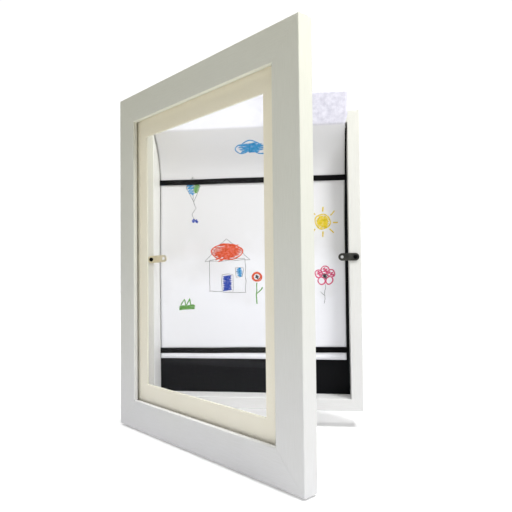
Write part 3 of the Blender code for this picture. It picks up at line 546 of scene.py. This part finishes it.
def sheetPath():
    # (y, z) points up the middle of the sheet
    settings = sheetSettings
    low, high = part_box("art_sheet")
    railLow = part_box("tray_rail_top")[0]
    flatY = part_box("back_panel")[0].y - settings["clear"]
    frontY = railLow.y - settings["clear"]
    bottom = Vector((flatY, low.z))
    leave = Vector((flatY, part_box("strap_upper")[1].z))
    edge = Vector((frontY, railLow.z - settings["foldRadius"]))
    top = Vector((frontY, high.z + settings["showsAbove"]))
    span = edge - leave
    fold = settings["foldPull"]
    pulls = [leave, leave + Vector((0, span.y * settings["leanPull"])),
             edge - Vector((span.x * fold, span.y * fold / 2)), edge]
    steps = settings["flatSteps"]
    path = [bottom.lerp(leave, i / steps) for i in range(steps)]
    steps = settings["leanSteps"]
    path += [bezier(pulls, i / steps) for i in range(steps)]
    arrive = (path[-1] - edge).normalized() * settings["foldRadius"]
    corner = [edge + arrive, edge, edge + Vector((0, settings["foldRadius"]))]
    steps = settings["foldSteps"]
    path += [bezier(corner, i / steps) for i in range(steps + 1)]
    steps = settings["topSteps"]
    return path + [corner[-1].lerp(top, i / steps) for i in range(1, steps + 1)]


sheetLine = sheetPath()
sheetLengths = [0.0]
for here, there in zip(sheetLine, sheetLine[1:]):
    sheetLengths.append(sheetLengths[-1] + (there - here).length)
sheetLow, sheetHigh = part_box("art_sheet")
sheetWidth = sheetHigh.x - sheetLow.x
strapLevels = [(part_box(node)[0].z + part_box(node)[1].z) / 2 for node in ("strap_lower", "strap_upper")]


def smoothRamp(value, low, high):
    t = min(max((value - low) / (high - low), 0), 1)
    return t * t * (3 - 2 * t)


def onSheet(u, v, lift=0.0):
    # the place of a point u from the sheet's left edge and v up from its bottom edge, both in metres
    settings = sheetSettings
    v = min(max(v, 0), sheetLengths[-1])
    i = next(k for k in range(1, len(sheetLengths)) if sheetLengths[k] >= v)
    share = (v - sheetLengths[i - 1]) / (sheetLengths[i] - sheetLengths[i - 1])
    here = sheetLine[i - 1].lerp(sheetLine[i], share)
    run = (sheetLine[i] - sheetLine[i - 1]).normalized()
    out = Vector((-run.y, run.x))
    swell = settings["lip"] * smoothRamp(settings["lipReach"] - v, 0, settings["lipReach"])
    between = (here.y - strapLevels[0]) / (strapLevels[1] - strapLevels[0])
    if 0 < between < 1:
        sway = 0.6 + 0.4 * sin(u / settings["bulgeSway"] + 3 * between)
        swell += settings["bulge"] * sin(pi * between) ** 2 * sway
    above = here.y - strapLevels[1]
    leaning = smoothRamp(above, *settings["waveFrom"]) * (1 - smoothRamp(above, *settings["waveTo"]))
    swell += settings["wave"] * leaning * sin(u / settings["waveSway"] + 1.3)
    pitch = settings["crumplesPerMetre"]
    crumples = 0.6 + noise.noise(Vector((u * pitch, v * pitch, 2.5))) * 0.8
    swell += settings["crumple"] * smoothRamp(v, *settings["crumpledOver"]) * crumples
    place = here + out * (swell + lift)
    drift = settings["slid"] + settings["tilted"] * smoothRamp(v, *settings["tiltedOver"])
    drift += settings["fanned"] * smoothRamp(v, *settings["fannedOver"])
    return Vector((sheetLow.x + u + drift * u / sheetWidth - settings["leftSlack"], place.x, place.y))


def artSheet():
    steps = sheetSettings["acrossSteps"]
    bm = bmesh.new()
    first = [bm.verts.new((0, v, 0)) for v in sheetLengths]
    edges = [bm.edges.new(pair) for pair in zip(first, first[1:])]
    for i in range(steps):
        made = bmesh.ops.extrude_edge_only(bm, edges=edges)["geom"]
        moved = pointsOf(made)
        edges = [edge for edge in edgesOf(made) if all(v in moved for v in edge.verts)]
        bmesh.ops.translate(bm, vec=(sheetWidth / steps, 0, 0), verts=moved)
    layUv(bm, lambda p: (p.x, p.y))
    for vert in bm.verts:
        vert.co = onSheet(vert.co.x, vert.co.y)
    piece = finishPiece("drawing_paper", bm, [paper], "tray", ["art_sheet"],
                        evenShading=False)
    body = piece.modifiers.new("paper thickness", "SOLIDIFY")
    body.thickness = sheetSettings["thick"]
    body.offset = 0


artSheet()
print("sheet ready")


# the crayon and pencil lines, drawn flat in millimetres from the sheet's lower left corner and laid on it

strokeSettings = {"lift": 0.16 * mm, "flat": 0.12, "step": 1.2, "loopSteps": 28, "shake": 1.1,
                  "shakesPerMm": 0.12, "thinnest": 0.85, "pressure": 0.3, "pressesPerMm": 0.2}


def loop(cx, cy, rx, ry, turns, start=0.0):
    steps = int(strokeSettings["loopSteps"] * turns)
    angles = [start + 2 * pi * turns * i / steps for i in range(steps + 1)]
    return [(cx + rx * cos(angle), cy + ry * sin(angle)) for angle in angles]


def scribble(cx, cy, rx, ry, rows, slant):
    # a zigzag that fills an oval
    points = []
    for i in range(rows + 1):
        y = -1 + 2 * i / rows
        reach = sqrt(max(0.04, 1 - y * y))
        side = 1 if i % 2 else -1
        x, h = side * reach * rx, y * ry
        points.append((cx + x * cos(slant) - h * sin(slant), cy + x * sin(slant) + h * cos(slant)))
    return points


def fillBox(x, y, width, height, rows):
    return [(x + (width if i % 2 else 0), y + height * i / rows) for i in range(rows + 1)]


drawing = {
    "pencil": {"hex": "4c4c50", "skip": 0.1, "width": 0.5, "strokes": [
        [(58, 76), (57.5, 112), (98.5, 113), (99, 75), (57, 76)],
        [(53, 111), (77, 136), (104, 112), (53, 110.5)],
        [(72, 76), (72, 95), (84, 95.5), (84, 75.5)],
        [(88, 92), (88, 103), (96, 103), (96, 92), (88, 92)],
        [(88, 97.5), (96, 97.5)],
        [(92, 92), (92, 103)],
        [(30, 196), (38, 208), (47, 197), (39, 180), (30, 196)],
        [(30, 196), (47, 197)],
        [(38, 208), (39, 180)],
        [(39, 180), (42, 172), (37, 165), (41, 157)],
        [(188, 83), (187, 62)],
        [(187.5, 70), (182, 75)],
    ]},
    "orange": {"hex": "de4f22", "skip": 0.12, "width": 1.7, "strokes": [
        scribble(78, 121.5, 17, 8, 15, 0.05), scribble(78, 120, 16, 6.5, 8, 0.5),
        loop(78, 121, 18, 8.6, 1.05), loop(112, 92, 5.2, 5.0, 1.1), loop(112, 92, 4.0, 3.8, 1.1),
    ]},
    "sky": {"hex": "1f93d1", "skip": 0.14, "width": 1.5, "strokes": [
        scribble(92, 97.5, 3.4, 4.9, 10, 0.1),
        loop(97, 238, 8, 5, 1.05), loop(107, 241, 10, 6.5, 1.05, 2.0), loop(117, 237, 8, 4.8, 1.05, 1.0),
        scribble(107, 239, 15, 5, 11, 0.0), scribble(107, 239.5, 13, 4, 6, 0.35),
        scribble(35.5, 195, 4.4, 8, 11, 0.3),
    ]},
    "green": {"hex": "5f9f42", "skip": 0.15, "width": 1.5, "strokes": [
        scribble(43, 196, 3.6, 7, 13, -0.3),
        [(112, 86), (111, 72), (112, 62)],
        [(111.5, 73), (117, 78), (118, 80)],
        fillBox(22, 56, 18, 4.2, 9), fillBox(23, 57, 16, 3.0, 5),
        [(24, 60), (28, 67), (30, 59), (34, 68), (36, 60)],
    ]},
    "pink": {"hex": "d9507c", "skip": 0.12, "width": 1.6, "strokes": [
        loop(188, 99, 4.4, 4.2, 1.1), loop(181, 95, 4.2, 4.0, 1.1), loop(195, 95, 4.2, 4.0, 1.1),
        loop(183.5, 87.5, 4.0, 4.0, 1.1), loop(192.5, 87.5, 4.0, 4.0, 1.1),
        scribble(188, 99, 3.2, 3.0, 5, 0.3), scribble(181, 95, 3.0, 2.8, 5, 0.1),
        scribble(195, 95, 3.0, 2.8, 5, 0.6),
    ]},
    "dark": {"hex": "26242c", "skip": 0.1, "width": 1.5, "strokes": [
        scribble(188, 92.5, 3.0, 2.8, 7, 0.2),
        scribble(112, 92, 2.2, 2.0, 5, 0.1),
    ]},
    "blue": {"hex": "2243ad", "skip": 0.1, "width": 1.6, "strokes": [
        fillBox(73.2, 77, 9.6, 17, 17), fillBox(74, 77.5, 8, 16, 11),
        [(41, 157), (44, 155), (43, 159), (41, 157), (38, 155), (38.5, 159), (41, 157)],
        scribble(43, 157, 1.6, 1.4, 3, 0.0), scribble(39, 157, 1.6, 1.4, 3, 0.0),
    ]},
    "yellow": {"hex": "e3c81e", "skip": 0.12, "width": 1.7, "strokes": [
        scribble(186, 153, 7.5, 7.2, 16, 0.4), scribble(186, 153, 6.5, 6.2, 9, 1.6),
        loop(186, 153, 8.2, 8, 1.1),
        [(186, 164), (186, 170)], [(195, 160), (199, 165)], [(197, 152), (203, 152)],
        [(194, 145), (198, 140)], [(186, 142), (186, 136)], [(178, 145), (174, 140)],
        [(178, 161), (174, 165)],
    ]},
}


def wobble(x, y, seed):
    pitch, shake = strokeSettings["shakesPerMm"], strokeSettings["shake"]
    across = noise.noise(Vector((x * pitch, y * pitch, seed)))
    up = noise.noise(Vector((x * pitch, y * pitch, seed + 40.5)))
    return x + across * shake, y + up * shake


def strokePoints(corners, seed):
    # a hand's line through the corners: evenly spaced, a little unsteady
    points = []
    for (x, y), (nextX, nextY) in zip(corners, corners[1:]):
        count = max(1, int(sqrt((nextX - x) ** 2 + (nextY - y) ** 2) / strokeSettings["step"]))
        points += [(x + (nextX - x) * i / count, y + (nextY - y) * i / count) for i in range(count)]
    points.append(corners[-1])
    return [wobble(x, y, seed) for x, y in points]


def drawStrokes(label, settings):
    curve = bpy.data.curves.new("drawn_" + label, "CURVE")
    curve.dimensions = "3D"
    curve.bevel_depth = settings["width"] * mm / 2
    curve.bevel_resolution = 1
    curve.use_fill_caps = True
    pitch = strokeSettings["pressesPerMm"]
    for seed, corners in enumerate(settings["strokes"]):
        points = strokePoints(corners, seed * 3.7 + len(label))
        spline = curve.splines.new("POLY")
        spline.points.add(len(points) - 1)
        for place, (x, y) in zip(spline.points, points):
            press = noise.noise(Vector((x * pitch, y * pitch, seed)))
            place.co = (x * mm, y * mm, 0, 1)
            place.radius = strokeSettings["thinnest"] + strokeSettings["pressure"] * press
    drawn = bpy.data.objects.new("drawn_" + label, curve)
    bm = bmesh.new()
    bm.from_mesh(bpy.data.meshes.new_from_object(drawn))
    bpy.data.objects.remove(drawn)
    layUv(bm, lambda p: (p.x, p.y))
    for vert in bm.verts:
        vert.co = onSheet(vert.co.x, vert.co.y, strokeSettings["lift"] + vert.co.z * strokeSettings["flat"])
    crayon = waxCrayon("wax crayon " + label, settings["hex"], settings["skip"])
    finishPiece("drawing_" + label, bm, [crayon], "tray", (), evenShading=False)


for label, settings in drawing.items():
    drawStrokes(label, settings)
print("drawing ready")


# elastic straps

strapSettings = {"rise": {"strap_upper": 0.0, "strap_lower": 1.3 * mm}, "slices": 48, "roundShare": 0.45,
                 "ripple": 0.12 * mm, "rippleTurn": 9, "ripplePhase": 40}


def elasticStrap(node):
    low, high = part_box(node)
    length, thick = high.x - low.x, high.y - low.y
    bm = boxMesh(low, high)
    sides = [edge for edge in bm.edges if abs(edge.verts[0].co.x - edge.verts[1].co.x) > length / 2]
    roundEdges(bm, sides, thick * strapSettings["roundShare"], segments=3)
    for i in range(1, strapSettings["slices"]):
        cutAcross(bm, (low.x + length * i / strapSettings["slices"], 0, 0), (1, 0, 0))
    layUv(bm, lambda p: (p.x, p.z - low.z + p.y))
    phase = low.z * strapSettings["ripplePhase"]
    for vert in bm.verts:
        share = vert.co.x / (length / 2)
        vert.co.z += strapSettings["rise"][node] * share
        vert.co.z += strapSettings["ripple"] * sin(share * strapSettings["rippleTurn"] + phase)
    finishPiece("elastic_" + node, bm, [elastic], "tray", [node])


for node in strapSettings["rise"]:
    elasticStrap(node)
print("straps ready")


# the mat with its bevelled window, and the clear pane

matSettings = {"showSide": 16.7 * mm, "showEnd": 18.6 * mm, "cut": 0.35 * mm, "arris": 0.08 * mm}
paneSettings = {"edge": 0.25 * mm}


def rectangleLoop(bm, halfWidth, halfHeight, y, middle):
    corners = [(-1, -1), (1, -1), (1, 1), (-1, 1)]
    verts = [bm.verts.new((middle.x + sx * halfWidth, y, middle.z + sz * halfHeight)) for sx, sz in corners]
    return [bm.edges.new((verts[i], verts[(i + 1) % 4])) for i in range(4)]


def doorMat():
    low, high = closedBox("door_mat")
    doorLow, doorHigh = closedBox("door_stile_hinge", "door_stile_free")
    railLow, railHigh = closedBox("door_rail_top")
    face = railHigh.z - railLow.z
    middle = (low + high) / 2
    width, height = (high.x - low.x) / 2, (high.z - low.z) / 2
    windowWidth = (doorHigh.x - doorLow.x) / 2 - face - matSettings["showSide"]
    windowHeight = (doorHigh.z - doorLow.z) / 2 - face - matSettings["showEnd"]
    cut = matSettings["cut"]
    bm = bmesh.new()
    rings = [
        rectangleLoop(bm, width, height, low.y, middle),
        rectangleLoop(bm, windowWidth + cut, windowHeight + cut, low.y, middle),
        rectangleLoop(bm, windowWidth, windowHeight, high.y, middle),
        rectangleLoop(bm, width, height, high.y, middle),
    ]
    for i in range(4):
        for one, two in zip(rings[i], rings[(i + 1) % 4]):
            made = bmesh.ops.contextual_create(bm, geom=[one, two])
            made["faces"][0].material_index = 1 if i in (1, 3) else 0  # the cut edges show the pulp
    roundEdges(bm, rings[1] + rings[2], matSettings["arris"], segments=2)
    bmesh.ops.transform(bm, matrix=doorSwing, verts=bm.verts)
    finishPiece("cream_mat", bm, [matFace, matCore], "door", ["door_mat"])


def doorPane():
    bm = boxMesh(*closedBox("door_pane"))
    roundEdges(bm, bm.edges[:], paneSettings["edge"], segments=2)
    bmesh.ops.transform(bm, matrix=doorSwing, verts=bm.verts)
    finishPiece("acrylic_pane", bm, [acrylic], "door", ["door_pane"])


doorMat()
doorPane()
print("glazing ready")


# turn buttons and their screws, shaped flat with z toward the viewer

buttonSettings = {
    "left": {"side": -1, "tilt": radians(4), "metal": reflectedBeige, "slot": "beige_metal"},
    "right": {"side": 1, "tilt": 0.0, "metal": gunmetal, "slot": "grey_metal"},
}
plateSettings = {"width": 8 * mm, "reach": 14 * mm, "thick": 1 * mm, "seat": 0.3 * mm, "hole": 1.6 * mm,
                 "joggle": 0.45 * mm, "joggleFrom": 4.2 * mm, "joggleTo": 6.0 * mm, "joggleSteps": 4,
                 "arris": 0.15 * mm, "rimAngle": radians(60), "sides": 48}
screwSettings = {"head": 2.2 * mm, "headThick": 1.1 * mm, "rim": 0.18 * mm, "chamfer": 0.06, "gap": 0.1 * mm,
                 "dome": range(10, 86, 12),  # degrees up the head's dome
                 "shank": 1.2 * mm, "length": 11 * mm, "point": 1.2 * mm, "taper": 2.6 * mm, "sides": 40,
                 "arm": 1.35 * mm, "slot": 0.32 * mm, "recess": 0.7 * mm}


def turnButton(which, settings):
    side, body = settings["side"], "button_" + which
    centre = jointPlaces[body + "_turn"]
    half, reach, sides = plateSettings["width"] / 2, plateSettings["reach"], plateSettings["sides"]
    bm = bmesh.new()
    verts = []
    for end, start in ((0, pi / 2), (reach, -pi / 2)):
        for i in range(sides // 2 + 1):
            angle = start + 2 * pi * i / sides
            verts.append(bm.verts.new((-side * (end + half * cos(angle)), half * sin(angle), 0)))
    edges = [bm.edges.new(pair) for pair in zip(verts, verts[1:] + verts[:1])]
    for x in (0, -side * reach):
        ring = bmesh.ops.create_circle(bm, segments=sides, radius=plateSettings["hole"])["verts"]
        bmesh.ops.translate(bm, vec=(x, 0, 0), verts=ring)
        edges += dict.fromkeys(edge for vert in ring for edge in vert.link_edges)
    bmesh.ops.triangle_fill(bm, edges=edges, use_beauty=True)
    bend = plateSettings["joggleFrom"], plateSettings["joggleTo"]
    for i in range(plateSettings["joggleSteps"] + 1):
        x = bend[0] + (bend[1] - bend[0]) * i / plateSettings["joggleSteps"]
        cutAcross(bm, (-side * x, 0, 0), (1, 0, 0))
    grown = bmesh.ops.extrude_face_region(bm, geom=bm.faces[:])
    bmesh.ops.translate(bm, vec=(0, 0, plateSettings["thick"]), verts=pointsOf(grown["geom"]))
    bmesh.ops.recalc_face_normals(bm, faces=bm.faces)
    rims = [edge for edge in bm.edges
            if len(edge.link_faces) == 2 and edge.calc_face_angle(0) > plateSettings["rimAngle"]]
    roundEdges(bm, rims, plateSettings["arris"], segments=2)
    for vert in bm.verts:
        vert.co.z += plateSettings["seat"] + plateSettings["joggle"] * smoothRamp(abs(vert.co.x), *bend)
    upright = Matrix.Rotation(pi / 2, 4, "X")
    turn = Matrix.Translation(centre) @ Matrix.Rotation(-settings["tilt"], 4, "Y") @ upright
    bmesh.ops.transform(bm, matrix=turn, verts=bm.verts)
    finishPiece("turn_" + body + "_plate", bm, [settings["metal"]], body, ["turn_" + body])
    buttonScrew("turn_button_screw_" + which, Matrix.Translation(centre) @ upright)


def buttonScrew(node, turn):
    settings = screwSettings
    head, shank = settings["head"], settings["shank"]
    seat = plateSettings["seat"] + plateSettings["thick"] + settings["gap"]
    top, rim = seat + settings["headThick"], seat + settings["rim"]
    tip = top - settings["length"]
    profile = [(0, tip), (shank / 2, tip + settings["point"]), (shank, tip + settings["taper"]),
               (shank, seat), (head * (1 - settings["chamfer"]), seat), (head, rim)]
    profile += [(head * cos(radians(a)), rim + (top - rim) * sin(radians(a))) for a in settings["dome"]]
    profile.append((0, top))
    bm = bmesh.new()
    verts = [bm.verts.new((r, 0, z)) for r, z in profile]
    edges = [bm.edges.new(pair) for pair in zip(verts, verts[1:])]
    bmesh.ops.spin(bm, geom=verts + edges, cent=(0, 0, 0), axis=(0, 0, 1), angle=2 * pi,
                   steps=settings["sides"], use_merge=True)
    bmesh.ops.transform(bm, matrix=turn, verts=bm.verts)
    piece = finishPiece(node + "_body", bm, [blackened], "tray", [node], evenShading=False)
    crossRecess(piece, turn, top)


def crossRecess(piece, turn, top):
    # a driver's cross pressed into the head
    arm, slot, recess = screwSettings["arm"], screwSettings["slot"], screwSettings["recess"]
    bm = bmesh.new()
    for width, height in ((arm, slot), (slot, arm)):
        shape = Matrix.Translation((0, 0, top)) @ Matrix.Diagonal((2 * width, 2 * height, 2 * recess, 1))
        bmesh.ops.create_cube(bm, size=1, matrix=turn @ shape)
    cutter = linkMesh("cross", bm)
    press = piece.modifiers.new("cross", "BOOLEAN")
    press.object = cutter
    press.solver = "EXACT"
    press.use_self = True
    bpy.context.view_layer.update()
    shaped = bpy.data.meshes.new_from_object(piece.evaluated_get(bpy.context.evaluated_depsgraph_get()))
    piece.modifiers.clear()
    piece.data = shaped
    bpy.data.objects.remove(cutter)


for which, settings in buttonSettings.items():
    turnButton(which, settings)
print("turn buttons ready")


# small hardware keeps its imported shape, with its edges eased

hardwareSettings = {"merge": 0.001 * mm, "flat": radians(0.5), "sharper": radians(40),
                    "rubberEase": 0.12 * mm, "steelEase": 0.08 * mm}


def easedCopy(node, material, width):
    part = frame["nodes"][node]
    bm = bmesh.new()
    bm.from_mesh(part.data)
    bmesh.ops.remove_doubles(bm, verts=bm.verts, dist=hardwareSettings["merge"])
    bmesh.ops.dissolve_limit(bm, angle_limit=hardwareSettings["flat"], verts=bm.verts, edges=bm.edges)
    piece = finishPiece(node + "_eased", bm, [material], part["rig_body"], [node], evenShading=False)
    ease = piece.modifiers.new("eased edges", "BEVEL")
    ease.limit_method = "ANGLE"
    ease.angle_limit = hardwareSettings["sharper"]
    ease.width = width
    ease.segments = 2
    ease.harden_normals = True


for node, part in frame["nodes"].items():
    if part.hide_render:
        continue  # a piece above stands for it
    if "bumper" in node:
        easedCopy(node, rubber, hardwareSettings["rubberEase"])
    else:
        easedCopy(node, zinc, hardwareSettings["steelEase"])
print("hardware ready")


# the light table, the lights and the camera

studio = {
    "table": {"drop": 2 * mm, "size": 8.0, "squares": 8, "seen": 0.3, "glow": 0.08},
    "world": {"fill": 0.088, "seen": 1.05},
    "key": {"place": (0.45, -0.37, 0.66), "size": 0.26, "power": 5.9},
    "suns": {
        "white ceiling": {"azimuth": -100, "height": 84, "softness": 58, "strength": 2.82},
        "left screen": {"azimuth": -130, "height": 25, "softness": 60, "strength": 0.05},
    },
    "camera": {"place": (0.07945, -0.59165, -0.01267), "yaw": 7.264, "pitch": 1.793, "roll": 0.593,
               "lens": 36.79},
}


def lightTable():
    # an opal sheet lit from below: the camera sees it white, and it lights the frame only a little
    settings = studio["table"]
    material, tree, shader = startMaterial("opal light table", {"Roughness": 0.8,
                                                                "Emission Color": toLinear("ffffff")})
    place = addNode(tree, "ShaderNodeTexCoord").outputs["Object"]
    cloudy = addNode(tree, "ShaderNodeTexNoise", {"Scale": 1 / (330 * mm), "Detail": 2.0}, {"Vector": place})
    tint = addNode(tree, "ShaderNodeValToRGB", {"stops": [(0.3, "ececec"), (0.7, "f0f0f0")]}, {"Fac": cloudy})
    rays = addNode(tree, "ShaderNodeLightPath")
    glow = addNode(tree, "ShaderNodeMapRange", {"To Min": settings["glow"], "To Max": settings["seen"]},
                   {"Value": rays.outputs["Is Camera Ray"]})
    feedShader(tree, shader, {"Base Color": tint, "Emission Strength": glow})
    squares = settings["squares"]
    bm = bmesh.new()
    bmesh.ops.create_grid(bm, x_segments=squares, y_segments=squares, size=settings["size"] / 2)
    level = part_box("door_rail_bottom")[0].z - settings["drop"]
    bmesh.ops.translate(bm, vec=(0, 0, level), verts=bm.verts)
    table = linkMesh("light_table", bm, [material])


def addLamp(name, kind, place, strength):
    # a lamp at place that shines on the origin
    light = bpy.data.lights.new(name, kind)
    light.energy = strength
    lamp = bpy.data.objects.new(name, light)
    bpy.context.scene.collection.objects.link(lamp)
    lamp.matrix_world = Matrix.Translation(place) @ (-place).to_track_quat("-Z", "Y").to_matrix().to_4x4()
    return lamp


def keyLight():
    # a round softbox to the right of the frame, above and in front of it
    settings = studio["key"]
    lamp = addLamp("key softbox", "AREA", Vector(settings["place"]), settings["power"])
    lamp.data.shape = "DISK"
    lamp.data.size = settings["size"]
    lamp.visible_camera = False


def softSun(name, settings):
    # light from a wide screen: azimuth from the right-hand side, height above the table, both in degrees
    azimuth, height = radians(settings["azimuth"]), radians(settings["height"])
    place = Vector((cos(height) * cos(azimuth), cos(height) * sin(azimuth), sin(height)))
    lamp = addLamp(name, "SUN", place, settings["strength"])
    lamp.data.angle = radians(settings["softness"])


def whiteWorld():
    world = bpy.data.worlds.new("white studio")
    bpy.context.scene.world = world
    world.use_nodes = True
    tree = world.node_tree
    fill = tree.nodes["Background"]
    fill.inputs["Color"].default_value = toLinear("ffffff")
    fill.inputs["Strength"].default_value = studio["world"]["fill"]
    seen = addNode(tree, "ShaderNodeBackground", {"Color": toLinear("ffffff"),
                                                  "Strength": studio["world"]["seen"]})
    rays = addNode(tree, "ShaderNodeLightPath")
    both = addNode(tree, "ShaderNodeMixShader", links={0: rays.outputs["Is Camera Ray"], 1: fill, 2: seen})
    joinTo(tree, both, tree.nodes["World Output"].inputs["Surface"])


def placeCamera():
    settings = studio["camera"]
    view = bpy.data.cameras.new("photo view")
    view.lens = settings["lens"]
    camera = bpy.data.objects.new("photo view", view)
    bpy.context.scene.collection.objects.link(camera)
    aim = Matrix.Translation(settings["place"])
    for turn, axis in (("yaw", "Z"), ("pitch", "X"), ("roll", "Y")):
        aim = aim @ Matrix.Rotation(radians(settings[turn]), 4, axis)
    camera.matrix_world = aim @ Matrix.Rotation(pi / 2, 4, "X")  # yaw 0 looks along y
    bpy.context.scene.camera = camera


lightTable()
keyLight()
for name, settings in studio["suns"].items():
    softSun(name, settings)
whiteWorld()
placeCamera()
bpy.context.scene.view_settings.view_transform = "Standard"
print("studio ready")
